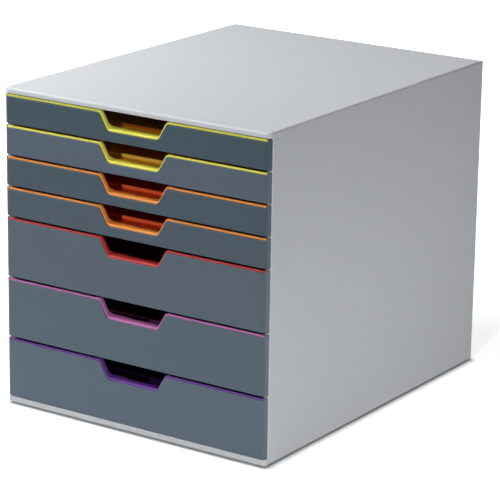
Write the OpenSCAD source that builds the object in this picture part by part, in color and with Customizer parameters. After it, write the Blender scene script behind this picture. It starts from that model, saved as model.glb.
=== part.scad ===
// Desktop drawer box: a moulded casing that holds four shallow and three deep drawers.
// Millimetres, +Z up, drawer fronts towards -Y. The origin is the middle of the underside.

/* [Casing] */
// Width over the side walls
casing_w = 280; // [250:1:330]
// Depth from the faces of the drawer fronts to the back edge
casing_d = 356; // [335:1:420]
// Thickness of the side walls, and of the top and base plates
wall_t = 3; // [2.6:0.2:4]
// Height of the edge that the top shows at the front
top_edge_h = 4.8; // [4.2:0.2:8]
// Height of the edge that the base shows all round
base_edge_h = 5.4; // [4.6:0.2:8]
// Radius of the two front corners in plan
front_corner_r = 5.5; // [4.6:0.1:7]
// Radius of the two back corners in plan
back_corner_r = 3; // [1:0.5:5]
// Rounding along the top edges
top_edge_r = 2.4; // [1:0.2:3]
// Rounding along the bottom edges
base_edge_r = 1.2; // [0.4:0.2:2]
// Rounding of the front edge of each side wall
side_edge_r = 1.5; // [0.6:0.1:2]
// Depth of the turned-in front edge of the side walls, and of the lip under the top
return_d = 1.8; // [1.2:0.2:3]
// Width of the small stop in the middle of that lip
lip_stop_w = 6; // [4:0.5:10]
// Height of that stop
lip_stop_h = 0.5; // [0.3:0.1:0.7]
// Height of the guide ribs that trap the runner frames
guide_rib_h = 1.2; // [0.8:0.1:1.4]
// Thickness of the guide ribs
guide_rib_t = 1.5; // [1:0.1:2.5]
// Depth of the rebate that the back panel sits in, measured sideways
rebate_step = 1.4; // [1:0.1:1.6]
// Width of the rim round the recess under the base
base_rim_w = 3; // [2:0.5:6]

/* [Back panel] */
// Thickness of the back panel
back_panel_t = 2.5; // [2:0.1:3]
// Distance that the back panel lies inside the casing's back edge
back_panel_inset = 0.8; // [0.4:0.1:2]
// Height of the stiffening ribs on the inside of the back panel
back_rib_h = 2; // [1:0.5:4]
// Diameter of the bosses that take the screws
boss_d = 8; // [7:0.5:9]
// Length of the screw bosses
boss_l = 12; // [10:1:16]
// Distance of the lowest and highest screws from the base and the top
boss_inset_z = 16; // [12:1:30]
// Diameter of the screw thread
screw_d = 3; // [2.5:0.1:3.5]
// Length of the screw under its head
screw_l = 12; // [9:1:13]
// Diameter of the screw head
screw_head_d = 5.6; // [5:0.1:7]
// Height of the screw head
screw_head_h = 0.7; // [0.5:0.1:1.2]
// Length of each slot of the screw's cross
screw_slot_l = 3.8; // [3:0.1:4.4]
// Width of each slot
screw_slot_w = 0.8; // [0.5:0.1:1]
// Depth of each slot
screw_slot_h = 0.4; // [0.2:0.1:0.8]

/* [Runner frames] */
// Thickness of the frame's upright sheet
frame_t = 2; // [1.5:0.1:3]
// Distance that each ledge stands out from the sheet
ledge_w = 8; // [6:0.5:12]
// Thickness of each ledge
ledge_t = 1.8; // [1.5:0.1:1.9]
// Length of a stop tab along the drawer's travel
stop_tab_l = 3; // [2:0.5:6]
// Width of a stop tab
stop_tab_w = 2; // [1.5:0.5:3]
// Height of a stop tab under its ledge
stop_tab_h = 4; // [3:0.5:6]

/* [Drawers] */
// Height step of a shallow drawer
shallow_pitch = 28; // [26:0.5:36]
// Height step of a deep drawer
deep_pitch = 56; // [44:1:80]
// Distance that a drawer pulls out to its stop
drawer_travel = 250; // [150:5:255]
// Open line between one drawer's front and the next
front_gap = 2; // [1.6:0.1:2.4]
// Open line between the top's lip and the first drawer
top_gap = 1; // [0.8:0.1:2]
// Depth of a front panel at its ends
front_panel_d = 4.2; // [3.8:0.1:4.4]
// Depth of a front panel between its ends, where the tray's wall stands behind it
front_mid_d = 3; // [2.8:0.1:3.4]
// Rounding of a front panel's four corners, seen from the front
front_end_r = 1.5; // [0.5:0.1:2]
// Thickness of a front panel's face
front_face_t = 2.2; // [1.8:0.1:2.6]
// Thickness of a tray's walls
tray_wall_t = 2; // [1.5:0.1:2.5]
// Thickness of a tray's floor
tray_floor_t = 2; // [1.5:0.1:2.5]
// Radius of a tray's back corners
tray_corner_r = 8; // [4:1:20]
// Room between a tray's back and the screw bosses
tray_back_room = 4; // [2:0.5:8]
// Length of the low bar on a shallow tray's floor, which lifts the front of the sheets
lift_bar_w = 90; // [40:1:160]
// Thickness of that bar
lift_bar_t = 3; // [2:0.2:5]
// Height of that bar
lift_bar_h = 2.8; // [2.6:0.2:4]
// Distance from the face of the drawer's front to that bar
lift_bar_y = 43; // [30:1:60]
// Height that a tray's coloured lip rises over the front panel
lip_t = 1.9; // [1:0.1:2.2]
// Distance of that lip behind the face of the drawer's front
lip_setback = 1; // [0.8:0.1:2]
// Distance of the lip's ends from the casing's sides
lip_inset = 3.3; // [2.6:0.1:5]
// Diameter of the pins that hold a front panel on its tray
front_pin_d = 4; // [3:0.2:5]
// Distance of the outer pins from the tray's sides
pin_inset_x = 22; // [12:1:30]
// Distance of the inner pins from the notch
pin_notch_x = 22; // [10:1:30]
// Distance of the pins from the panel's lower edge, and on a deep one from its lip too
pin_inset_z = 12; // [8:0.5:14]

/* [Finger notch] */
// Width of the notch at its mouth, between the slanting sides
notch_top_w = 70.8; // [60:0.2:90]
// Width of the notch at its floor
notch_floor_w = 52.6; // [40:0.2:58]
// Depth of the notch below the drawer's top
notch_h = 15.4; // [13:0.2:17.2]
// Radius of the notch's upper shoulders
shoulder_r = 4.5; // [3:0.5:5]
// Radius of the notch's lower corners
notch_corner_r = 4; // [2:0.5:5]
// Width of the coloured lip beside the front panel on the notch's two sides
flank_lip_t = 1.1; // [0.8:0.1:1.8]
// Depth of the coloured sides of the notch, from the face of the drawer's front
flank_d = 5.4; // [5.2:0.2:9.4]
// Depth of the coloured ledge in the left half of the notch
ledge_deep = 12; // [10.6:0.2:20]
// Depth of the coloured ledge in the right half
ledge_slim = 9.6; // [7:0.2:10.4]
// Place of the soft step between the two halves, from the notch's middle
ledge_step_x = -12; // [-14:1:14]
// Width of that step
ledge_step_w = 16; // [8:1:20]

/* [Feet] */
// Height of the gap under the base
foot_h = 2; // [1.8:0.2:4]
// Diameter of a foot
foot_d = 18; // [14:1:22]
// Diameter of the plug that holds a foot
foot_plug_d = 6; // [4:0.5:8]
// Width of the flat pad round each foot
foot_pad_rim = 2; // [1:0.5:4]
// Distance of a foot's centre from the sides
foot_inset_x = 22; // [16:1:40]
// Distance of a foot's centre from the front and the back
foot_inset_y = 24; // [16:1:40]

/* [Clearances] */
// Room between a front panel and the side wall behind it
front_clear = 0.3; // [0.2:0.1:0.6]
// Room between a tray and each runner frame, sideways
side_clear = 0.6; // [0.4:0.1:0.9]
// Room between a tray's floor and the ledges it slides on
runner_clear = 0.2; // [0.1:0.1:0.4]
// Room round pieces that are fitted once, such as frames and panels
fit_clear = 0.1; // [0.1:0.05:0.2]
// Room round a screw in the back panel's hole
screw_clear = 0.2; // [0.1:0.05:0.4]
// Room round a front panel's pin in its hole
pin_clear = 0.1; // [0.05:0.05:0.2]
// Room left between a stop tab and the tray at full travel
stop_play = 0.5; // [0.3:0.1:1]

/* [Hidden] */
$fn = 48;
shallow_count = 4;
deep_count = 3;
drawer_count = shallow_count + deep_count;
overshoot = 1;  // how far a cutter runs past the face it opens

// Levels, from the floor up
tray_seat = 1;  // height of a ledge's top above the lower edge of its drawer's front
base_top = foot_h + base_edge_h;
lowest_front = base_top + ledge_t - tray_seat;
stack_h = shallow_count * shallow_pitch + deep_count * deep_pitch;
top_under = lowest_front + stack_h - front_gap + top_gap;
casing_h = top_under + top_edge_h;
cavity_top = casing_h - wall_t;
frame_top = cavity_top - fit_clear;
base_recess_h = base_edge_h - wall_t;

// Places from front to back
front_y = -casing_d / 2;
back_y = casing_d / 2;
wall_front_y = front_y + front_panel_d + front_clear;
return_back_y = wall_front_y + return_d;
panel_back_y = front_y + front_panel_d;
tray_front_y = front_y + front_mid_d;
tray_wall_y = tray_front_y + tray_wall_t;
lip_front_y = front_y + lip_setback;
rebate_y = back_y - back_panel_inset - back_panel_t;
boss_front_y = rebate_y - boss_l;
tray_back_y = boss_front_y - tray_back_room;
frame_back_y = boss_front_y - fit_clear;

// Places across the width
wall_in_x = casing_w / 2 - wall_t;
frame_in_x = wall_in_x - frame_t;
ledge_in_x = frame_in_x - ledge_w;
tray_half_w = frame_in_x - side_clear;
lip_half_w = casing_w / 2 - lip_inset;
boss_x = wall_in_x - boss_d / 2;
corner_in_r = tray_corner_r - tray_wall_t;
tab_in_corner = max(0, ledge_in_x + stop_tab_w - (tray_half_w - tray_corner_r));
corner_room = corner_in_r - sqrt(pow(corner_in_r, 2) - pow(tab_in_corner, 2));
foot_x = casing_w / 2 - foot_inset_x;
foot_y = casing_d / 2 - foot_inset_y;
boss_levels = [base_top + boss_inset_z, (base_top + cavity_top) / 2, cavity_top - boss_inset_z];

// The notch
flank_angle = atan((notch_top_w - notch_floor_w) / 2 / notch_h);
shoulder_x = notch_top_w / 2 + shoulder_r * (1 - sin(flank_angle)) / cos(flank_angle);
corner_x = notch_top_w / 2
    - (notch_corner_r + (notch_h - notch_corner_r) * sin(flank_angle)) / cos(flank_angle);
flank_shift = (lip_t - flank_lip_t) / cos(flank_angle);  // brings the front panel closer on the sides
arc_steps = 8;     // parts of each rounded corner
step_points = 12;  // parts of the ledge's soft step

// Colours
casing_grey = [0.80, 0.81, 0.82];
front_slate = [0.34, 0.38, 0.42];
foot_black = [0.12, 0.12, 0.13];
steel = [0.62, 0.63, 0.65];
tray_colours = [
    [0.90, 0.88, 0.30], [0.94, 0.82, 0.22], [0.95, 0.60, 0.20], [0.95, 0.52, 0.18],
    [0.80, 0.25, 0.24], [0.72, 0.42, 0.66], [0.40, 0.24, 0.58],
];

function is_deep(k) = k > shallow_count;
function pitch(k) = is_deep(k) ? deep_pitch : shallow_pitch;
// Height of the upper end of drawer k's step, counted from the top drawer, k = 1
function step_top(k) = k == 1 ? lowest_front + stack_h : step_top(k - 1) - pitch(k - 1);
function front_low(k) = step_top(k) - pitch(k);
function drawer_h(k) = pitch(k) - front_gap;

// A box from its lowest to its highest corner
module block(low, high) translate(low) cube(high - low);

// A rectangle with one radius on its two low corners and another on its two high ones
module soft_rect(low, high, low_r, high_r) {
    difference() {
        translate(low) square(high - low);
        for (x = [low.x, high.x]) {
            translate([x, low.y]) square(2 * low_r, center = true);
            translate([x, high.y]) square(2 * high_r, center = true);
        }
    }
    for (side = [-1, 1]) {
        x_low = side < 0 ? low.x + low_r : high.x - low_r;
        x_high = side < 0 ? low.x + high_r : high.x - high_r;
        translate([x_low, low.y + low_r]) circle(low_r);
        translate([x_high, high.y - high_r]) circle(high_r);
    }
}

// The casing's outline seen from above, which the drawer fronts share
module plan_outline() {
    soft_rect([-casing_w / 2, front_y], [casing_w / 2, back_y], front_corner_r, back_corner_r);
}

// The casing's full outer form with its rounded edges
module casing_form() {
    intersection() {
        translate([0, 0, foot_h]) linear_extrude(casing_h - foot_h) plan_outline();
        translate([0, back_y, 0]) rotate([90, 0, 0]) linear_extrude(casing_d)
            soft_rect([-casing_w / 2, foot_h], [casing_w / 2, casing_h], base_edge_r, top_edge_r);
        rotate([90, 0, 90]) translate([0, 0, -casing_w / 2]) linear_extrude(casing_w)
            soft_rect([front_y, foot_h], [back_y, casing_h], base_edge_r, top_edge_r);
    }
}

// The right side wall from above, with its rounded and turned-in front edge
module side_wall_plan() {
    edge_y = wall_front_y + side_edge_r;
    translate([wall_in_x, edge_y]) square([wall_t, back_y - edge_y]);
    translate([frame_in_x, wall_front_y]) square([frame_t + wall_t - side_edge_r, return_d]);
    translate([casing_w / 2 - side_edge_r, edge_y]) circle(side_edge_r);
}

module casing_walls() {
    block([-casing_w / 2, front_y, cavity_top], [casing_w / 2, back_y, casing_h]);
    block([-casing_w / 2, front_y, top_under], [casing_w / 2, return_back_y, casing_h]);
    block([-casing_w / 2, front_y, foot_h], [casing_w / 2, back_y, base_top]);
    for (side = [0, 1]) mirror([side, 0, 0])
        translate([0, 0, foot_h]) linear_extrude(casing_h - foot_h) side_wall_plan();
}

// Ribs beside the lowest and highest ledges
module guide_ribs() {
    rib_x = ledge_in_x - fit_clear - guide_rib_t;
    for (side = [0, 1]) mirror([side, 0, 0]) {
        block([rib_x, return_back_y - overshoot, base_top - overshoot],
              [rib_x + guide_rib_t, frame_back_y, base_top + guide_rib_h]);
        block([rib_x, return_back_y - overshoot, cavity_top - guide_rib_h],
              [rib_x + guide_rib_t, frame_back_y, cavity_top + overshoot]);
    }
}

// A low rounded stop under the middle of the top's lip
module lip_stop() {
    stop_r = (pow(lip_stop_w / 2, 2) + pow(lip_stop_h, 2)) / (2 * lip_stop_h);
    intersection() {
        translate([0, return_back_y, top_under - lip_stop_h + stop_r]) rotate([90, 0, 0])
            cylinder(h = return_back_y - front_y - side_edge_r, r = stop_r);
        block([-lip_stop_w, front_y, top_under - overshoot],
              [lip_stop_w, return_back_y, top_under + overshoot]);
    }
}

module screw_bosses() {
    for (side = [0, 1], z = boss_levels) mirror([side, 0, 0]) translate([boss_x, rebate_y, z])
        rotate([90, 0, 0]) union() {
            cylinder(h = boss_l, d = boss_d);
            translate([0, -boss_d / 2, 0]) cube([boss_d / 2 + overshoot, boss_d, boss_l]);
        }
}

module foot_pads(d, low, high) {
    for (x = [-foot_x, foot_x], y = [-foot_y, foot_y])
        translate([x, y, low]) cylinder(h = high - low, d = d);
}

module casing_shell() {
    color(casing_grey) difference() {
        union() {
            difference() {
                intersection() {
                    casing_form();
                    casing_walls();
                }
                // rebate for the back panel
                block([-wall_in_x - rebate_step, rebate_y, base_top - rebate_step],
                      [wall_in_x + rebate_step, back_y + overshoot, cavity_top + rebate_step]);
                // recess under the base
                block([base_rim_w - casing_w / 2, front_y + base_rim_w, foot_h - overshoot],
                      [casing_w / 2 - base_rim_w, back_y - base_rim_w, foot_h + base_recess_h]);
            }
            guide_ribs();
            lip_stop();
            screw_bosses();
            foot_pads(foot_d + 2 * foot_pad_rim, foot_h, foot_h + base_recess_h + overshoot);
        }
        // screw holes
        for (side = [-1, 1], z = boss_levels)
            translate([side * boss_x, rebate_y + overshoot, z]) rotate([90, 0, 0])
                cylinder(h = boss_l + 2 * overshoot, d = screw_d + 2 * fit_clear);
        // sockets for the feet
        foot_pads(foot_plug_d + 2 * fit_clear, foot_h - overshoot, base_top - wall_t / 2);
    }
}

module back_panel() {
    half_w = wall_in_x + rebate_step - fit_clear;
    low_z = base_top - rebate_step + fit_clear;
    high_z = cavity_top + rebate_step - fit_clear;
    rib_half_w = boss_x - boss_d;
    color(casing_grey) difference() {
        union() {
            block([-half_w, rebate_y, low_z], [half_w, rebate_y + back_panel_t, high_z]);
            for (z = [boss_levels[0], boss_levels[2]])
                block([-rib_half_w, rebate_y - back_rib_h, z - wall_t / 2],
                      [rib_half_w, rebate_y + overshoot, z + wall_t / 2]);
            for (x = [-rib_half_w, 0, rib_half_w - wall_t])
                block([x, rebate_y - back_rib_h, boss_levels[0]],
                      [x + wall_t, rebate_y + overshoot, boss_levels[2]]);
        }
        for (side = [-1, 1], z = boss_levels)
            translate([side * boss_x, rebate_y - overshoot, z]) rotate([-90, 0, 0])
                cylinder(h = back_panel_t + 2 * overshoot, d = screw_d + 2 * screw_clear);
    }
}

module back_panel_screws() {
    head_y = rebate_y + back_panel_t;
    color(steel) for (side = [-1, 1], z = boss_levels) translate([side * boss_x, head_y, z])
        rotate([-90, 0, 0]) difference() {
            union() {
                cylinder(h = screw_head_h, d = screw_head_d);
                translate([0, 0, -screw_l]) cylinder(h = screw_l, d = screw_d);
            }
            for (turn = [0, 90]) rotate([0, 0, turn])
                translate([-screw_slot_l / 2, -screw_slot_w / 2, screw_head_h - screw_slot_h])
                    cube([screw_slot_l, screw_slot_w, screw_slot_h + overshoot]);
        }
}

// The right frame: an upright sheet with a ledge under and over every drawer
module runner_frame() {
    start_y = return_back_y + fit_clear;
    tab_back_y = tray_back_y - tray_wall_t - corner_room - drawer_travel - stop_play;
    block([frame_in_x, start_y, base_top], [wall_in_x, frame_back_y, frame_top]);
    for (k = [1:drawer_count + 1]) {
        ledge_top = (k > drawer_count ? lowest_front : step_top(k)) + tray_seat;
        block([ledge_in_x, start_y, ledge_top - ledge_t],
              [frame_in_x + overshoot, frame_back_y, min(ledge_top, frame_top)]);
        if (k <= drawer_count)
            block([ledge_in_x, tab_back_y - stop_tab_l, ledge_top - ledge_t - stop_tab_h],
                  [ledge_in_x + stop_tab_w, tab_back_y, ledge_top - ledge_t / 2]);
    }
}

module right_runner_frame() {
    color(casing_grey) runner_frame();
}

module left_runner_frame() {
    color(casing_grey) mirror([1, 0, 0]) runner_frame();
}

module foot(x, y) {
    plug_h = base_edge_h - wall_t / 2 - fit_clear;
    color(foot_black) translate([x, y, 0]) {
        cylinder(h = foot_h, d = foot_d);
        cylinder(h = foot_h + plug_h, d = foot_plug_d);
    }
}

// Points down the left side of the notch, sunk by depth under the drawer's top profile and moved
// towards the notch by shift
function left_flank(h, depth, shift) = concat(
    [for (i = [0:arc_steps])
        let (a = 90 - i * (90 - flank_angle) / arc_steps)
        [shift - shoulder_x + (shoulder_r - depth) * cos(a),
         h - shoulder_r + (shoulder_r - depth) * sin(a)]],
    [for (i = [0:arc_steps])
        let (a = flank_angle + i * (90 - flank_angle) / arc_steps)
        [shift - corner_x - (notch_corner_r + depth) * cos(a),
         h - notch_h + notch_corner_r - (notch_corner_r + depth) * sin(a)]]
);
function mirrored(points) = [for (i = [len(points) - 1:-1:0]) [-points[i].x, points[i].y]];

// Everything under the drawer's top profile, which is sunk by depth
module below_profile(half_w, h, depth, shift = 0) {
    flank = left_flank(h, depth, shift);
    polygon(concat([[-half_w, 0], [-half_w, h - depth]], flank, mirrored(flank),
                   [[half_w, h - depth], [half_w, 0]]));
}

// Stands a front view up, from the place low_y to high_y
module upright(low_y, high_y) translate([0, high_y, 0]) rotate([90, 0, 0])
    linear_extrude(high_y - low_y) children();

// The coloured lip seen from the front, along the top of a tray's wall and round its notch
module lip_section(half_w, h) difference() {
    below_profile(half_w, h, 0);
    below_profile(half_w + overshoot, h, lip_t, flank_shift);
    translate([-half_w - overshoot, -overshoot]) square([2 * (half_w + overshoot), overshoot]);
}

// The notch's coloured sides and its ledge from above: the ledge is deep on the left and slim on the
// right, with a soft step between
module ledge_plan() {
    flank_y = front_y + flank_d;
    polygon(concat(
        [[-shoulder_x, lip_front_y], [-shoulder_x, flank_y],
         [-corner_x - notch_corner_r, flank_y], [-corner_x, front_y + ledge_deep]],
        [for (i = [0:step_points])
            let (t = i / step_points)
            [ledge_step_x + ledge_step_w * (t - 1 / 2),
             front_y + ledge_slim + (ledge_deep - ledge_slim) * (1 + cos(180 * t)) / 2]],
        [[corner_x, front_y + ledge_slim], [corner_x + notch_corner_r, flank_y],
         [shoulder_x, flank_y], [shoulder_x, lip_front_y]]));
}

// Centres of the pins that hold front panel k
function pin_levels(k) = is_deep(k) ? [pin_inset_z, drawer_h(k) - lip_t - pin_inset_z] : [pin_inset_z];
module front_pins(k, d, low_y, high_y) {
    for (side = [-1, 1], x = [shoulder_x + pin_notch_x, tray_half_w - pin_inset_x], z = pin_levels(k))
        translate([side * x, low_y, z]) rotate([-90, 0, 0]) cylinder(h = high_y - low_y, d = d);
}

// A low bar with a round top and round ends, standing on the level z
module lift_bar(z) {
    r = lift_bar_t / 2;
    reach = lift_bar_w / 2 - r;
    translate([0, front_y + lift_bar_y + r, z]) {
        for (side = [-1, 1]) translate([side * reach, 0, 0]) {
            translate([0, 0, -overshoot]) cylinder(h = lift_bar_h - r + overshoot, r = r);
            translate([0, 0, lift_bar_h - r]) sphere(r);
        }
        block([-reach, -r, -overshoot], [reach, r, lift_bar_h - r]);
        translate([-reach, 0, lift_bar_h - r]) rotate([0, 90, 0]) cylinder(h = 2 * reach, r = r);
    }
}

module drawer_tray(k) {
    h = drawer_h(k);
    low_z = tray_seat + runner_clear;
    color(tray_colours[k - 1]) translate([0, 0, front_low(k)]) difference() {
        union() {
            difference() {
                translate([0, 0, low_z]) linear_extrude(h - low_z)
                    soft_rect([-tray_half_w, tray_front_y], [tray_half_w, tray_back_y],
                              tray_wall_t / 2, tray_corner_r);
                translate([0, 0, low_z + tray_floor_t]) linear_extrude(h)
                    soft_rect([tray_wall_t - tray_half_w, tray_wall_y],
                              [tray_half_w - tray_wall_t, tray_back_y - tray_wall_t],
                              tray_wall_t / 2, tray_corner_r - tray_wall_t);
                // the part of the front wall that the notch takes away
                difference() {
                    block([-shoulder_x, tray_front_y - overshoot, h - notch_h - lip_t],
                          [shoulder_x, tray_wall_y + overshoot, h + overshoot]);
                    upright(tray_front_y - 2 * overshoot, tray_wall_y + 2 * overshoot)
                        below_profile(tray_half_w, h, 0);
                }
            }
            upright(lip_front_y, panel_back_y) lip_section(lip_half_w, h);
            upright(lip_front_y, tray_wall_y) lip_section(tray_half_w, h);
            intersection() {
                upright(lip_front_y, front_y + ledge_deep) lip_section(tray_half_w, h);
                linear_extrude(h) ledge_plan();
            }
            if (!is_deep(k)) lift_bar(low_z + tray_floor_t);
        }
        front_pins(k, front_pin_d + 2 * pin_clear, tray_front_y - overshoot, tray_wall_y + overshoot);
    }
}

module drawer_front(k) {
    h = drawer_h(k);
    rim = front_face_t;
    pocket_y = front_y + front_face_t;
    side_x = shoulder_x + rim;
    color(front_slate) translate([0, 0, front_low(k)]) {
        difference() {
            intersection() {
                linear_extrude(h) plan_outline();
                upright(front_y - overshoot, panel_back_y) union() {
                    below_profile(lip_half_w + fit_clear, h, lip_t + fit_clear, flank_shift);
                    for (x = [-casing_w / 2, lip_half_w + fit_clear])
                        translate([x, 0]) square([lip_inset - fit_clear, h]);
                }
                upright(front_y - overshoot, panel_back_y + overshoot)
                    soft_rect([-casing_w / 2, 0], [casing_w / 2, h], front_end_r, front_end_r);
            }
            // room for the tray's front wall between the panel's ends
            block([-tray_half_w - fit_clear, tray_front_y, -overshoot],
                  [tray_half_w + fit_clear, panel_back_y + overshoot, h + overshoot]);
            // pockets behind the face, beside the notch and under it
            for (side = [0, 1]) mirror([side, 0, 0])
                block([side_x, pocket_y, rim],
                      [tray_half_w - rim, tray_front_y + overshoot, h - lip_t - rim]);
            block([-side_x - overshoot, pocket_y, rim],
                  [side_x + overshoot, tray_front_y + overshoot, h - notch_h - lip_t - rim]);
        }
        front_pins(k, front_pin_d, pocket_y - overshoot, tray_wall_y);
    }
}

casing_shell();
back_panel();
back_panel_screws();
left_runner_frame();
right_runner_frame();
foot(-foot_x, -foot_y);  // front_left_foot
foot(foot_x, -foot_y);  // front_right_foot
foot(-foot_x, foot_y);  // back_left_foot
foot(foot_x, foot_y);  // back_right_foot
drawer_tray(1);  // drawer_1_tray
drawer_tray(2);  // drawer_2_tray
drawer_tray(3);  // drawer_3_tray
drawer_tray(4);  // drawer_4_tray
drawer_tray(5);  // drawer_5_tray
drawer_tray(6);  // drawer_6_tray
drawer_tray(7);  // drawer_7_tray
drawer_front(1);  // drawer_1_front
drawer_front(2);  // drawer_2_front
drawer_front(3);  // drawer_3_front
drawer_front(4);  // drawer_4_front
drawer_front(5);  // drawer_5_front
drawer_front(6);  // drawer_6_front
drawer_front(7);  // drawer_7_front
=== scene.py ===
import math
from functools import partial

import bmesh
import bpy
from mathutils import Matrix, Vector


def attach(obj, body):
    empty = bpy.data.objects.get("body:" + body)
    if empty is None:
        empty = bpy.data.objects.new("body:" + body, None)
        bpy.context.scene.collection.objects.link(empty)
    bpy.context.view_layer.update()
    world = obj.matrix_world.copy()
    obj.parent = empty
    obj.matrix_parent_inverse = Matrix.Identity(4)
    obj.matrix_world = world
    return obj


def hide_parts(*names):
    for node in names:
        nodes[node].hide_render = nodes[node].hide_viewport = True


mm = 0.001

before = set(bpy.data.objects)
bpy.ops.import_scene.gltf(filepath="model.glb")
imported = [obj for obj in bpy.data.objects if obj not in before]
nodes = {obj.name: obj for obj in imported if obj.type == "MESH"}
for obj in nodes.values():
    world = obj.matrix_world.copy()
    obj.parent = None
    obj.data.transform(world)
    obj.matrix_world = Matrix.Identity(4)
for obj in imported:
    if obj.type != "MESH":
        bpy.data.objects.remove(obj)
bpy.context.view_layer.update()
print("frame loaded:", len(nodes), "nodes")


# sRGB hex to Blender's linear colour
def linearColour(hexCode):
    parts = [int(hexCode[i:i + 2], 16) / 255 for i in (0, 2, 4)]
    return [c / 12.92 if c <= 0.04045 else ((c + 0.055) / 1.055) ** 2.4 for c in parts] + [1.0]


# one node with its own settings, and its inputs as (input, value or socket)
def addNode(tree, kind, links=(), **settings):
    node = tree.nodes.new(kind)
    for name, value in settings.items():
        setattr(node, name, value)
    for socket, value in links:
        if isinstance(value, bpy.types.NodeSocket):
            tree.links.new(value, node.inputs[socket])
        else:
            node.inputs[socket].default_value = value
    return node


def mathNode(tree, operation, *values):
    return addNode(tree, "ShaderNodeMath", enumerate(values), operation=operation).outputs[0]


# carries a value from one range to another
def ranged(tree, value, start, end, low, high, **settings):
    links = [("Value", value), (1, start), (2, end), (3, low), (4, high)]
    return addNode(tree, "ShaderNodeMapRange", links, **settings).outputs[0]


def vector(tree, x=0.0, y=0.0, z=0.0):
    return addNode(tree, "ShaderNodeCombineXYZ", [("X", x), ("Y", y), ("Z", z)]).outputs[0]


def splitVector(tree, spot):
    return addNode(tree, "ShaderNodeSeparateXYZ", [("Vector", spot)]).outputs


def emptyMaterial(name):
    material = bpy.data.materials.new(name)
    material.use_nodes = True
    material.node_tree.nodes.clear()
    return material, material.node_tree


def wear(obj, material):
    obj.data.materials.clear()
    obj.data.materials.append(material)


def linkedObject(name, data):
    obj = bpy.data.objects.new(name, data)
    bpy.context.scene.collection.objects.link(obj)
    return obj


cameraSettings = {
    "place": (1250 * mm, -1857 * mm, 787 * mm),
    "yaw": -33.90,      # degrees, to the left of +Y
    "pitch": 16.44,     # degrees, downwards
    "roll": 0.89,
    "focal": 183.4,     # millimetres, as the sensor
    "sensor": 36,
    "farEnd": 30,       # metres
}


def makeCamera(s):
    yaw, pitch, roll = (math.radians(s[k]) for k in ("yaw", "pitch", "roll"))
    level = math.cos(pitch)
    forward = Vector((math.sin(yaw) * level, math.cos(yaw) * level, -math.sin(pitch)))
    side = Vector((math.cos(yaw), -math.sin(yaw), 0))
    up = side.cross(forward)
    rightAxis = math.cos(roll) * side + math.sin(roll) * up
    upAxis = math.cos(roll) * up - math.sin(roll) * side
    data = bpy.data.cameras.new("photoCamera")
    data.sensor_width = s["sensor"]
    data.lens = s["focal"]
    data.clip_end = s["farEnd"]
    camera = linkedObject("photoCamera", data)
    turn = Matrix((rightAxis, upAxis, -forward)).transposed()
    camera.matrix_world = Matrix.Translation(s["place"]) @ turn.to_4x4()
    bpy.context.scene.camera = camera


makeCamera(cameraSettings)
print("camera set")

stageSettings = {
    "floorSize": 9.0,       # metres
    "floorTint": "D6D7D8",
    "cameraGlow": 0.72,     # what the camera adds to the floor, so that it reads white
    "underGlow": 0.05,
    "footprint": (139 * mm, 177 * mm),
    "glowFade": 7 * mm,     # from the footprint outwards, which keeps the contact shadow
    "farGlow": 0.4,         # what is added further out, where the lamps don't reach
    "farRange": (0.25, 1.2),
    "skyTint": "FFFFFF",
}


def makeFloor(s):
    half = s["floorSize"] / 2
    mesh = bpy.data.meshes.new("studioFloor")
    corners = [(-half, -half, 0), (half, -half, 0), (half, half, 0), (-half, half, 0)]
    mesh.from_pydata(corners, [], [(0, 1, 2, 3)])
    floor = linkedObject("studioFloor", mesh)
    material, tree = emptyMaterial("palePaperSweep")
    calc = partial(mathNode, tree)
    seen = addNode(tree, "ShaderNodeLightPath").outputs["Is Camera Ray"]
    diffuse = addNode(tree, "ShaderNodeBsdfDiffuse", [("Color", linearColour(s["floorTint"]))])
    place = splitVector(tree, addNode(tree, "ShaderNodeTexCoord").outputs["Object"])
    gaps = []
    for axis, reach in enumerate(s["footprint"]):
        beyond = calc("SUBTRACT", calc("ABSOLUTE", place[axis]), reach)
        gaps.append(calc("MAXIMUM", beyond, 0.0))
    away = calc("ADD", *gaps)
    near = ranged(tree, away, 0.0, s["glowFade"], s["underGlow"], s["cameraGlow"])
    outer = ranged(tree, away, *s["farRange"], 0.0, s["farGlow"])
    glow = calc("MULTIPLY", seen, calc("ADD", near, outer))
    shine = addNode(tree, "ShaderNodeEmission", [("Color", (1, 1, 1, 1)), ("Strength", glow)])
    both = addNode(tree, "ShaderNodeAddShader", [(0, diffuse.outputs[0]), (1, shine.outputs[0])])
    addNode(tree, "ShaderNodeOutputMaterial", [("Surface", both.outputs[0])])
    mesh.materials.append(material)


# white to the camera and through clear things, and no light on the object
def makeSky(s):
    world = bpy.data.worlds.new("studioSky")
    bpy.context.scene.world = world
    world.use_nodes = True
    tree = world.node_tree
    tree.nodes.clear()
    ray = addNode(tree, "ShaderNodeLightPath").outputs
    seen = mathNode(tree, "MAXIMUM", ray["Is Camera Ray"], ray["Is Transmission Ray"])
    sky = addNode(tree, "ShaderNodeBackground", [("Color", linearColour(s["skyTint"])), ("Strength", seen)])
    addNode(tree, "ShaderNodeOutputWorld", [("Surface", sky.outputs[0])])


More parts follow.
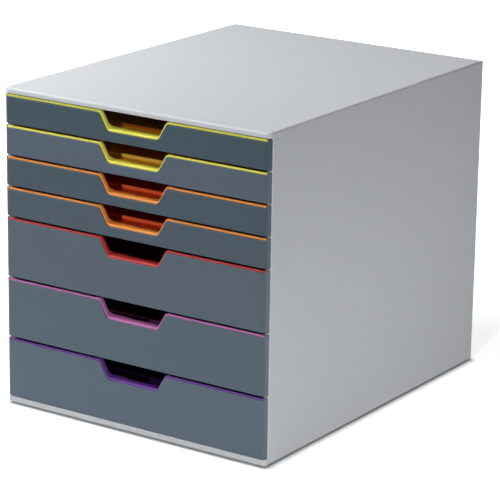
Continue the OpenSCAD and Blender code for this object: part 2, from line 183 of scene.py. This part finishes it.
lamps = {
    # name: place, aim, size, power in watts, spread in degrees
    "overhead": ((0.0, -0.1, 2.4), (0, 0, 0.2), (1.6, 1.6), 9.1, 180),
    "topLeftNear": ((-0.75, -0.35, 1.0), (-0.1, -0.05, 0.29), (0.6, 0.6), 14.4, 180),
    "floorRight": ((0.85, 0.0, 1.5), (0.8, 0, 0), (0.5, 0.9), 0.5, 50),
    "backLow": ((-0.9, 1.7, 0.18), (-0.05, 0.178, 0.13), (1.2, 0.2), 7.0, 180),
    "rightSoft": ((2.0, -1.5, 0.9), (0.1, -0.15, 0.18), (1.0, 0.8), 9.0, 180),
    "rightLow": ((0.50, -0.10, 0.03), (0.14, -0.05, 0.0), (0.8, 0.05), 0.7, 180),
}
frontKey = {
    "azimuth": 13,          # degrees to the right of the front
    "elevation": 25.9,
    "angle": 0.6,           # degrees, so its shadows are hard
    "strength": 0.95,
}


def aimLamp(lamp, direction):
    lamp.rotation_mode = "QUATERNION"
    lamp.rotation_quaternion = direction.to_track_quat("-Z", "Y")


def makeAreaLamp(name, place, aim, size, power, spread):
    data = bpy.data.lights.new(name, "AREA")
    data.shape = "RECTANGLE"
    data.size, data.size_y = size
    data.energy = power
    data.spread = math.radians(spread)
    lamp = linkedObject(name, data)
    lamp.visible_camera = False
    lamp.location = place
    aimLamp(lamp, Vector(aim) - Vector(place))


# a small far lamp that reaches through the finger notches to the lift bars
def makeFrontKey(s):
    azimuth, elevation = math.radians(s["azimuth"]), math.radians(s["elevation"])
    level = math.cos(elevation)
    data = bpy.data.lights.new("frontKey", "SUN")
    data.energy = s["strength"]
    data.angle = math.radians(s["angle"])
    towards = Vector((-math.sin(azimuth) * level, math.cos(azimuth) * level, -math.sin(elevation)))
    aimLamp(linkedObject("frontKey", data), towards)


makeFloor(stageSettings)
makeSky(stageSettings)
for lampName, lampValues in lamps.items():
    makeAreaLamp(lampName, *lampValues)
makeFrontKey(frontKey)
scene = bpy.context.scene
scene.view_settings.view_transform = "Standard"
print("stage and lamps set")


def noise(tree, place, size, detail, distortion=0.0):
    links = [("Vector", place), ("Scale", 1 / size), ("Detail", detail), ("Distortion", distortion)]
    return addNode(tree, "ShaderNodeTexNoise", links).outputs[0]


def blendedPaint(tree, share, hexCode, hexDeep):
    links = [(0, share), (6, linearColour(hexCode)), (7, linearColour(hexDeep))]
    return addNode(tree, "ShaderNodeMix", links, data_type="RGBA").outputs[2]


# Styrene from a spark-eroded mould: a dull, even sheen that a fine grain breaks up. The real grain is
# about 0.15 mm and too fine to show, so it is drawn at grainSize.
mouldedFinish = {
    "grainSize": 0.7 * mm, "grainDetail": 2.0,
    "grainDepth": 0.02 * mm,
    "cloudSize": 90 * mm, "cloudDetail": 3.0,       # slow change of sheen over a wall
    "cloudShift": 0.035,
    "scuffSize": 14 * mm, "scuffDetail": 4.0, "scuffBend": 0.6,
    "scuffRange": (0.35, 0.75),                     # of the noise, from handled to dull
    "scuffShift": (-0.02, 0.03),                    # in roughness
    "ior": 1.52,
}


# the colour drifts towards hexDeep where one is given, and is even otherwise
def mouldedPlastic(name, hexCode, hexDeep=None, roughness=0.42, grain=0.5, gloss=0.5):
    s = mouldedFinish
    material, tree = emptyMaterial(name)
    place = addNode(tree, "ShaderNodeTexCoord").outputs["Object"]
    fine = noise(tree, place, s["grainSize"], s["grainDetail"])
    cloud = noise(tree, place, s["cloudSize"], s["cloudDetail"])
    scuff = noise(tree, place, s["scuffSize"], s["scuffDetail"], s["scuffBend"])
    bump = addNode(tree, "ShaderNodeBump",
                   [("Strength", grain), ("Distance", s["grainDepth"]), ("Height", fine)])
    paint = blendedPaint(tree, cloud, hexCode, hexDeep) if hexDeep else linearColour(hexCode)
    sheen = ranged(tree, cloud, 0.0, 1.0, roughness - s["cloudShift"], roughness + s["cloudShift"])
    handled = ranged(tree, scuff, *s["scuffRange"], *s["scuffShift"])
    skin = addNode(tree, "ShaderNodeBsdfPrincipled",
                   [("Base Color", paint), ("Roughness", mathNode(tree, "ADD", sheen, handled)),
                    ("IOR", s["ior"]), ("Specular IOR Level", gloss), ("Normal", bump.outputs[0])])
    addNode(tree, "ShaderNodeOutputMaterial", [("Surface", skin.outputs[0])])
    return material


# Zinc plating: a cool metal whose passivation varies a little in tint, with fine rolling marks.
platedFinish = {
    "tint": "C6C9CC", "stain": "BFC4BE",
    "stainSize": 3 * mm, "stainDetail": 2.0,
    "markSize": 0.25 * mm, "markDetail": 3.0,
    "markDepth": 0.02 * mm, "markStrength": 0.4,
    "roughness": (0.28, 0.48),
}


def platedSteel(name, s):
    material, tree = emptyMaterial(name)
    place = addNode(tree, "ShaderNodeTexCoord").outputs["Object"]
    stain = noise(tree, place, s["stainSize"], s["stainDetail"])
    marks = noise(tree, place, s["markSize"], s["markDetail"])
    bump = addNode(tree, "ShaderNodeBump",
                   [("Strength", s["markStrength"]), ("Distance", s["markDepth"]), ("Height", marks)])
    skin = addNode(tree, "ShaderNodeBsdfPrincipled",
                   [("Base Color", blendedPaint(tree, stain, s["tint"], s["stain"])), ("Metallic", 1.0),
                    ("Roughness", ranged(tree, marks, 0.0, 1.0, *s["roughness"])),
                    ("Normal", bump.outputs[0])])
    addNode(tree, "ShaderNodeOutputMaterial", [("Surface", skin.outputs[0])])
    return material


casingGrey = mouldedPlastic("mouldedStyreneGrey", "C7CACD", "C4C7CB", roughness=0.74, gloss=0.3)
backGrey = mouldedPlastic("extrudedStyreneSheet", "BCBFC2", "B8BBBF", roughness=0.5, grain=0.7)
rubber = mouldedPlastic("mouldedRubber", "1E1E20", "232325", roughness=0.8)
zinc = platedSteel("zincPlatedSteel", platedFinish)
print("materials made")


# a piece rides on its body, stands for its nodes and takes their finish
def settle(piece, material, body, slot, *replaced):
    wear(piece, material)
    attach(piece, body)
    if replaced:
        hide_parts(*replaced)


edgeRounding = {
    # piece: width, least angle in degrees, and whether the width is held back where edges meet
    "casing": (0.35 * mm, 50, True),
    "panel": (0.5 * mm, 30, False),
    "tray": (0.4 * mm, 30, True),
}
roundingSteps = 3
sameSpot = 0.001 * mm       # points closer than this are merged
sameFlat = 0.5              # degrees, up to which faces are joined
flatFirst = 100             # the weight that keeps the wide flats flat


def bevelled(piece, edge, angle, clamped):
    bevel = piece.modifiers.new("softEdges", "BEVEL")
    bevel.width = edge
    bevel.segments = roundingSteps
    bevel.limit_method = "ANGLE"
    bevel.angle_limit = math.radians(angle)
    bevel.use_clamp_overlap = clamped
    bevel.harden_normals = True


# a node's mesh with its doubles merged, flat faces joined and its edges rounded
def softened(nodeName, pieceName, rounding):
    mesh = nodes[nodeName].data.copy()
    mesh.name = pieceName
    work = bmesh.new()
    work.from_mesh(mesh)
    bmesh.ops.remove_doubles(work, verts=work.verts, dist=sameSpot)
    bmesh.ops.dissolve_limit(work, angle_limit=math.radians(sameFlat), verts=work.verts, edges=work.edges)
    work.to_mesh(mesh)
    work.free()
    mesh.shade_smooth()
    piece = linkedObject(pieceName, mesh)
    bevelled(piece, *edgeRounding[rounding])
    even = piece.modifiers.new("evenShading", "WEIGHTED_NORMAL")
    even.weight = flatFirst
    return piece


# a closed shape over rings of points, of which the first and the last are filled
def skinned(name, rings):
    work = bmesh.new()
    loops = [[work.verts.new(point) for point in ring] for ring in rings]
    work.faces.new(list(reversed(loops[0])))
    for a, b in zip(loops, loops[1:]):
        for i in range(len(a)):
            j = (i + 1) % len(a)
            work.faces.new((a[i], a[j], b[j], b[i]))
    work.faces.new(loops[-1])
    bmesh.ops.recalc_face_normals(work, faces=work.faces)
    mesh = bpy.data.meshes.new(name)
    work.to_mesh(mesh)
    work.free()
    mesh.shade_smooth()
    return linkedObject(name, mesh)


def newTree(name, inputs):
    tree = bpy.data.node_groups.new(name, "GeometryNodeTree")
    tree.interface.new_socket("Geometry", in_out="OUTPUT", socket_type="NodeSocketGeometry")
    for title, value in inputs.items():
        kind = "NodeSocketInt" if isinstance(value, int) else "NodeSocketFloat"
        tree.interface.new_socket(title, in_out="INPUT", socket_type=kind).default_value = value
    tree.interface.new_socket("Material", in_out="INPUT", socket_type="NodeSocketMaterial")
    return tree, addNode(tree, "NodeGroupInput").outputs


# ends a tree with its material on real geometry
def endTree(tree, shape, material):
    painted = addNode(tree, "GeometryNodeSetMaterial", [("Geometry", shape), ("Material", material)])
    addNode(tree, "NodeGroupOutput", [(0, painted.outputs[0])])


# runs a tree on an empty object and keeps its result as a plain mesh
def grown(name, tree, values, material):
    holder = linkedObject(name + "Holder", bpy.data.meshes.new(name + "Seed"))
    modifier = holder.modifiers.new("grow", "NODES")
    modifier.node_group = tree
    keys = {item.name: item.identifier for item in tree.interface.items_tree if item.in_out == "INPUT"}
    for title, value in values.items():
        modifier[keys[title]] = value
    modifier[keys["Material"]] = material
    ready = holder.evaluated_get(bpy.context.evaluated_depsgraph_get())
    mesh = bpy.data.meshes.new_from_object(ready)
    bpy.data.objects.remove(holder)
    mesh.name = name
    return linkedObject(name, mesh)


drawerStack = {
    "top": 286.2 * mm,      # upper edge of the first front
    "gap": 2 * mm,
    "heights": [26 * mm] * 4 + [54 * mm] * 3,
}

# A drawer's coloured rail follows one rule: its height at each place across the width. A flat top dips
# into the finger notch along two slanting sides, and the ledge behind the notch is deep on the left
# and slim on the right.
railSettings = {
    "Half Width": 136.7 * mm,
    "Tray Half Width": 134.35 * mm,
    "Lip": 2.05 * mm,           # what shows over the slate panel, and a little behind it
    "Side Spread": 0.22 * mm,   # how much wider the notch is at the lip's lower edge
    "Notch Half Mouth": 35.4 * mm,
    "Notch Half Floor": 26.3 * mm,
    "Notch Depth": 15.4 * mm,
    "Softness": 4.6 * mm,
    "Front": -177.0 * mm,
    "Back Ends": -173.8 * mm,
    "Back": -172.98 * mm,
    "Back Sides": -172.6 * mm,
    "Back Deep": -166.0 * mm,
    "Back Slim": -168.4 * mm,
    "Step Start": -20 * mm,     # where the ledge goes from deep to slim
    "Step End": -4 * mm,
    "Side Outer": 39.5 * mm,    # off centre, where the rail starts to thicken beside the notch
    "Side Inner": 37.5 * mm,
    "Ledge Outer": 28.6 * mm,   # and where the ledge behind the notch starts
    "Ledge Inner": 25.0 * mm,
    "Edge Rounding": 0.5 * mm,
    "Back Fall": 1.3 * mm,      # the top slopes down behind the edge, so only the edge catches the light
}
railSection = {     # before the rule stretches it
    "steps": 560, "cornerSteps": 3,
    "depth": 4 * mm, "height": 1.9 * mm,
}


def makeRailTree():
    tree, size = newTree("notchedRail", {"Height": drawerStack["heights"][0], **railSettings})
    calc = partial(mathNode, tree)
    depth, height = railSection["depth"], railSection["height"]
    path = addNode(tree, "GeometryNodeCurvePrimitiveLine",
                   [("Start", vector(tree, x=calc("MULTIPLY", size["Half Width"], -1.0))),
                    ("End", vector(tree, x=size["Half Width"]))])
    path = addNode(tree, "GeometryNodeResampleCurve",
                   [("Curve", path.outputs[0]), ("Count", railSection["steps"])])
    section = addNode(tree, "GeometryNodeCurvePrimitiveQuadrilateral", [("Width", depth), ("Height", height)])
    section = addNode(tree, "GeometryNodeFilletCurve",
                      [("Curve", section.outputs[0]), ("Count", railSection["cornerSteps"]),
                       ("Radius", size["Edge Rounding"])], mode="POLY")
    tube = addNode(tree, "GeometryNodeCurveToMesh",
                   [("Curve", path.outputs[0]), ("Profile Curve", section.outputs[0]), ("Fill Caps", True)])
    across, along, up = splitVector(tree, addNode(tree, "GeometryNodeInputPosition").outputs[0])
    offCentre = calc("ABSOLUTE", across)
    run = calc("SUBTRACT", size["Notch Half Mouth"], size["Notch Half Floor"])
    slope = calc("DIVIDE", size["Notch Depth"], run)

    # how far the notch goes down at this place, with soft shoulders and corners
    def notchDrop(mouth):
        slant = calc("MULTIPLY", calc("SUBTRACT", mouth, offCentre), slope)
        opened = calc("SMOOTH_MAX", slant, 0.0, size["Softness"])
        return calc("SMOOTH_MIN", opened, size["Notch Depth"], size["Softness"])

    upper = calc("SUBTRACT", size["Height"], notchDrop(size["Notch Half Mouth"]))
    wider = calc("ADD", size["Notch Half Mouth"], size["Side Spread"])
    lower = calc("SUBTRACT", calc("SUBTRACT", size["Height"], size["Lip"]), notchDrop(wider))

    def chosen(share, low, high):
        return addNode(tree, "ShaderNodeMix", [(0, share), (2, low), (3, high)]).outputs[0]

    # how deep the rail is at this place
    ledge = ranged(tree, across, size["Step Start"], size["Step End"], size["Back Deep"], size["Back Slim"],
                   interpolation_type="SMOOTHSTEP")
    floorPart = ranged(tree, offCentre, size["Ledge Outer"], size["Ledge Inner"], 0.0, 1.0)
    sidePart = ranged(tree, offCentre, size["Side Outer"], size["Side Inner"], 0.0, 1.0)
    isEnd = calc("GREATER_THAN", offCentre, size["Tray Half Width"])
    wall = chosen(isEnd, size["Back"], size["Back Ends"])
    rear = chosen(floorPart, chosen(sidePart, wall, size["Back Sides"]), ledge)

    # the section keeps its rounded corners: its front, back, top and bottom halves only move
    isBack = calc("GREATER_THAN", along, 0.0)
    frontAt = calc("ADD", size["Front"], depth / 2)
    backAt = calc("SUBTRACT", rear, depth / 2)
    isTop = calc("GREATER_THAN", up, 0.0)
    lowAt = calc("ADD", lower, height / 2)
    level = calc("SUBTRACT", 1.0, calc("MAXIMUM", floorPart, sidePart))
    fall = calc("MULTIPLY", calc("MULTIPLY", size["Back Fall"], level), isBack)
    topAt = calc("SUBTRACT", calc("SUBTRACT", upper, height / 2), fall)
    shift = vector(tree, y=chosen(isBack, frontAt, backAt), z=chosen(isTop, lowAt, topAt))
    moved = addNode(tree, "GeometryNodeSetPosition", [("Geometry", tube.outputs[0]), ("Offset", shift)])
    real = addNode(tree, "GeometryNodeRealizeInstances", [("Geometry", moved.outputs[0])])
    endTree(tree, real.outputs[0], size["Material"])
    return tree


trayBox = {
    "halfWidth": 134.4 * mm, "front": -175 * mm, "back": 158.7 * mm, "wall": 2 * mm,
    "frontExtra": 0.02 * mm,                        # how much thicker the front wall is
    "under": 1.2 * mm, "floor": 3.2 * mm,           # over the front's lower edge
    "frontRadius": 1 * mm, "backRadius": 8 * mm,
    "cornerSteps": 6,
    "tuck": 1.8 * mm,                               # how far the front wall stays under the rail
    "notchReach": 40,                               # points a millimetre apart on each side of the middle
}


def notchDepthAt(x):
    s = railSettings
    slope = s["Notch Depth"] / (s["Notch Half Mouth"] - s["Notch Half Floor"])
    return max(0.0, min(s["Notch Depth"], (s["Notch Half Mouth"] - abs(x)) * slope))


# points round the tray, anticlockwise from its front left corner
def trayOutline(halfWidth, front, back, frontRadius, backRadius):
    steps, reach = trayBox["cornerSteps"], trayBox["notchReach"]
    points = []

    def corner(cx, cy, radius, start):
        for i in range(steps + 1):
            turn = math.radians(start + 90 * i / steps)
            points.append((cx + radius * math.cos(turn), cy + radius * math.sin(turn)))

    corner(-halfWidth + frontRadius, front + frontRadius, frontRadius, 180)
    points.extend((x * mm, front) for x in range(-reach, reach + 1))
    corner(halfWidth - frontRadius, front + frontRadius, frontRadius, 270)
    corner(halfWidth - backRadius, back - backRadius, backRadius, 0)
    corner(-halfWidth + backRadius, back - backRadius, backRadius, 90)
    return points


def makeTray(name, low, height):
    s = trayBox
    wall = s["wall"]
    innerFront = s["front"] + wall
    outer = trayOutline(s["halfWidth"], s["front"], s["back"], s["frontRadius"], s["backRadius"])
    inner = trayOutline(s["halfWidth"] - wall, innerFront + s["frontExtra"], s["back"] - wall,
                        s["frontRadius"], s["backRadius"] - wall)

    def flat(points, z):
        return [(x, y, z) for x, y in points]

    # the front wall stays under the rail, and the others are as high as the front
    def rim(points, front):
        ring = []
        for x, y in points:
            isFront = y < front + s["frontRadius"] + s["frontExtra"] / 2
            drop = notchDepthAt(x) + s["tuck"] if isFront else 0
            ring.append((x, y, low + height - drop))
        return ring

    piece = skinned(name, [flat(outer, low + s["under"]), rim(outer, s["front"]), rim(inner, innerFront),
                           flat(inner, low + s["floor"])])
    bevelled(piece, *edgeRounding["tray"])
    return piece


liftBar = {
    "halfLength": 45 * mm, "radius": 1.5 * mm, "height": 2.8 * mm,
    "middle": -133.5 * mm,
    "root": 0.5 * mm,                               # how far it goes into the floor
    "endSteps": 8,
    "domeAngles": (0, 18, 36, 54, 70, 82),          # degrees up its round top
}


# a low round-topped bar across the tray's floor, which shows through the notch
def makeLiftBar(name, level):
    s = liftBar
    reach = s["halfLength"] - s["radius"]
    shoulder = level + s["height"] - s["radius"]

    def ring(radius, z):
        points = []
        for side, start in ((1, -90), (-1, 90)):
            for i in range(s["endSteps"] + 1):
                turn = math.radians(start + 180 * i / s["endSteps"])
                x, y = side * reach + radius * math.cos(turn), s["middle"] + radius * math.sin(turn)
                points.append((x, y, z))
        return points

    rings = [ring(s["radius"], level - s["root"])]
    for angle in s["domeAngles"]:
        turn = math.radians(angle)
        rings.append(ring(s["radius"] * math.cos(turn), shoulder + s["radius"] * math.sin(turn)))
    return skinned(name, rings)


settle(softened("casing_shell", "casingShell", "casing"), casingGrey, "casing", "casing_grey", "casing_shell")
print("casing made")

# Each drawer from the top: slot, slate front, rail, tray and lift bar. The tints were set so that
# the rails and what the notches show read as in the photograph.
# The lift bars of drawers 2 to 4 are lighter than their trays, a painted highlight. Drawer 1's bar is darker,
# painted shade.
# The slate fronts differ in shade from drawer to drawer: painted light and shade on each front, with the
# first front the darkest.
# The tray colours are darker than their rails: painted shade for the dim insides of the drawers, deepest in
# the tall ones. The yellow and orange trays are also a warmer tone.
drawerTintsAndShades = [
    ("tray_yellow", "40525D", "FBF562", "EAAE22", "A0561A"),
    ("tray_yellow", "53616F", "FBF562", "EAAE22", "FFCC58"),
    ("tray_orange", "435460", "FBA048", "D84218", "FF7040"),
    ("tray_orange", "485763", "FBA048", "D84218", "FF7040"),
    ("tray_red", "53616E", "CC4040", "A02222", None),
    ("tray_pink", "53626F", "C474B4", "8E4680", None),
    ("tray_violet", "586775", "6C3C9A", "46206C", None),
]


def makeDrawer(k, low, height, slot, slateHexWithShade, railHex, trayShadeHex, barLightAndShadeHex):
    body = "drawer_%d" % k
    # the slate colour carries this front's painted light and shade
    shadedSlatePaint = mouldedPlastic("slatePaintedShade%d" % k, slateHexWithShade, roughness=0.44)
    railPaint = mouldedPlastic("mouldedStyreneRail%d" % k, railHex, roughness=0.38, grain=0.3)
    # the tray is darker than its rail: painted shade for the drawer's inside
    shadedTrayPaint = mouldedPlastic("trayPaintedShade%d" % k, trayShadeHex, roughness=0.38, grain=0.3)
    rail = grown("drawer%dRail" % k, railTree, {"Height": height}, railPaint)
    for vertex in rail.data.vertices:
        vertex.co.z += low
    rail.data.shade_smooth()
    settle(makeTray("drawer%dTray" % k, low, height), shadedTrayPaint, body, slot, "drawer_%d_tray" % k)
    settle(rail, railPaint, body, slot)
    if barLightAndShadeHex:
        # a lighter bar colour paints the highlight on drawers 2 to 4, and a darker one paints drawer 1's bar
        # in shade
        barLightAndShadePaint = mouldedPlastic("liftBarPaintedLight%d" % k, barLightAndShadeHex, roughness=0.3, grain=0.2)
        settle(makeLiftBar("drawer%dLiftBar" % k, low + trayBox["floor"]), barLightAndShadePaint, body, slot)
    panel = softened("drawer_%d_front" % k, "drawer%dPanel" % k, "panel")
    settle(panel, shadedSlatePaint, body, "front_slate", "drawer_%d_front" % k)
    return shadedTrayPaint


railTree = makeRailTree()
trayFloors = []         # of each drawer: level, paint and slot
upperEdge = drawerStack["top"]
for k, (height, tints) in enumerate(zip(drawerStack["heights"], drawerTintsAndShades), 1):
    lowerEdge = upperEdge - height
    shadedTrayPaint = makeDrawer(k, lowerEdge, height, *tints)
    trayFloors.append((lowerEdge + trayBox["floor"], shadedTrayPaint, tints[0]))
    upperEdge = lowerEdge - drawerStack["gap"]
print("drawers made")

# The back panel's screws stand in one grid: a domed head with a cross recess on a threaded shank.
screwSettings = {
    "Columns": 2, "Rows": 3,
    "Width": 266 * mm, "Depth": 249.6 * mm,     # of the grid, from the first screw to the last
    "Middle": 148.2 * mm,
    "Face": 177.2 * mm,                         # where the heads sit
    "Head Radius": 2.8 * mm, "Head Height": 0.7 * mm,
    "Dome Share": 0.55,                         # of the head's height, by which its rim is lower
    "Shank Radius": 1.35 * mm, "Shank Length": 12 * mm,
    "Thread Pitch": 1.2 * mm, "Thread Depth": 0.15 * mm,
    "Slot Length": 3.8 * mm, "Slot Width": 0.8 * mm, "Slot Depth": 0.4 * mm,
}
headSteps = {"Vertices": 40, "Side Segments": 4, "Fill Segments": 4}
shankSteps = {"Vertices": 24, "Side Segments": 60}


def placedCopies(tree, shape, size, middle, turn=(0, 0, 0)):
    grid = addNode(tree, "GeometryNodeMeshGrid",
                   [("Size X", size["Width"]), ("Size Y", size["Depth"]),
                    ("Vertices X", size["Columns"]), ("Vertices Y", size["Rows"])])
    grid = addNode(tree, "GeometryNodeTransform",
                   [("Geometry", grid.outputs[0]), ("Translation", middle), ("Rotation", turn)])
    points = addNode(tree, "GeometryNodeMeshToPoints", [("Mesh", grid.outputs[0])])
    copies = addNode(tree, "GeometryNodeInstanceOnPoints",
                     [("Points", points.outputs[0]), ("Instance", shape), ("Rotation", turn)])
    return addNode(tree, "GeometryNodeRealizeInstances", [("Geometry", copies.outputs[0])]).outputs[0]


def lifted(tree, shape, height):
    links = [("Geometry", shape), ("Translation", vector(tree, z=height))]
    return addNode(tree, "GeometryNodeTransform", links).outputs[0]


def makeScrewTree():
    tree, size = newTree("screwGrid", screwSettings)
    calc = partial(mathNode, tree)
    x, y, z = splitVector(tree, addNode(tree, "GeometryNodeInputPosition").outputs[0])
    half = calc("MULTIPLY", size["Head Height"], 0.5)

    head = addNode(tree, "GeometryNodeMeshCylinder",
                   [*headSteps.items(), ("Radius", size["Head Radius"]), ("Depth", size["Head Height"])])
    squared = calc("ADD", calc("MULTIPLY", x, x), calc("MULTIPLY", y, y))
    outward = calc("DIVIDE", calc("SQRT", squared), size["Head Radius"])
    above = calc("ADD", calc("DIVIDE", z, size["Head Height"]), 0.5)
    rimFall = calc("MULTIPLY", calc("MULTIPLY", size["Head Height"], size["Dome Share"]), -1.0)
    sag = calc("MULTIPLY", calc("MULTIPLY", calc("MULTIPLY", outward, outward), above), rimFall)
    domed = addNode(tree, "GeometryNodeSetPosition",
                    [("Geometry", head.outputs[0]), ("Offset", vector(tree, z=sag))])
    cut = domed.outputs[0]
    for length, width in (("Slot Length", "Slot Width"), ("Slot Width", "Slot Length")):
        cutter = vector(tree, size[length], size[width], calc("MULTIPLY", size["Slot Depth"], 2.0))
        bar = addNode(tree, "GeometryNodeMeshCube", [("Size", cutter)])
        slotted = addNode(tree, "GeometryNodeMeshBoolean",
                          [(0, cut), (1, lifted(tree, bar.outputs[0], half))],
                          operation="DIFFERENCE", solver="EXACT")
        cut = slotted.outputs[0]

    shank = addNode(tree, "GeometryNodeMeshCylinder",
                    [*shankSteps.items(), ("Radius", size["Shank Radius"]), ("Depth", size["Shank Length"])])
    turnAt = calc("MULTIPLY", calc("DIVIDE", z, size["Thread Pitch"]), math.tau)
    spiral = calc("SINE", calc("ADD", turnAt, calc("ARCTAN2", y, x)))
    swell = calc("DIVIDE", calc("MULTIPLY", spiral, size["Thread Depth"]), size["Shank Radius"])
    outwards = vector(tree, calc("MULTIPLY", x, swell), calc("MULTIPLY", y, swell))
    thread = addNode(tree, "GeometryNodeSetPosition", [("Geometry", shank.outputs[0]), ("Offset", outwards)])
    below = calc("MULTIPLY", size["Shank Length"], -0.5)

    screw = addNode(tree, "GeometryNodeJoinGeometry")
    for part in (lifted(tree, cut, half), lifted(tree, thread.outputs[0], below)):
        tree.links.new(part, screw.inputs[0])
    middle = vector(tree, 0.0, size["Face"], size["Middle"])
    copies = placedCopies(tree, screw.outputs[0], size, middle, (-math.pi / 2, 0, 0))
    endTree(tree, copies, size["Material"])
    return tree


# the faint rings that a mould's ejector pins leave on a tray's floor
markSettings = {
    "Columns": 3, "Rows": 3, "Width": 190 * mm, "Depth": 220 * mm, "Middle": 10 * mm,
    "Level": 0.0, "Ring Radius": 4 * mm, "Wire Radius": 0.2 * mm,
}
markSteps = {"ring": 40, "wire": 8}


def makeMarkTree():
    tree, size = newTree("ejectorRings", markSettings)

    def circle(steps, radius):
        links = [("Resolution", steps), ("Radius", radius)]
        return addNode(tree, "GeometryNodeCurvePrimitiveCircle", links).outputs[0]

    ring = addNode(tree, "GeometryNodeCurveToMesh",
                   [("Curve", circle(markSteps["ring"], size["Ring Radius"])),
                    ("Profile Curve", circle(markSteps["wire"], size["Wire Radius"]))])
    middle = vector(tree, 0.0, size["Middle"], size["Level"])
    endTree(tree, placedCopies(tree, ring.outputs[0], size, middle), size["Material"])
    return tree


screws = grown("backScrews", makeScrewTree(), {}, zinc)
settle(screws, zinc, "casing", "screw_steel", "back_panel_screws")
markTree = makeMarkTree()
for k, (level, shadedTrayPaint, slot) in enumerate(trayFloors, 1):
    marks = grown("drawer%dMarks" % k, markTree, {"Level": level}, shadedTrayPaint)
    marks.data.shade_smooth()
    settle(marks, shadedTrayPaint, "drawer_%d" % k, slot)
print("screws and marks made")

for name, obj in nodes.items():
    if name.endswith("_foot"):
        wear(obj, rubber)
    elif name.endswith("_screws"):
        wear(obj, zinc)
    elif name == "back_panel":
        wear(obj, backGrey)
    elif name.endswith("_frame"):
        wear(obj, casingGrey)
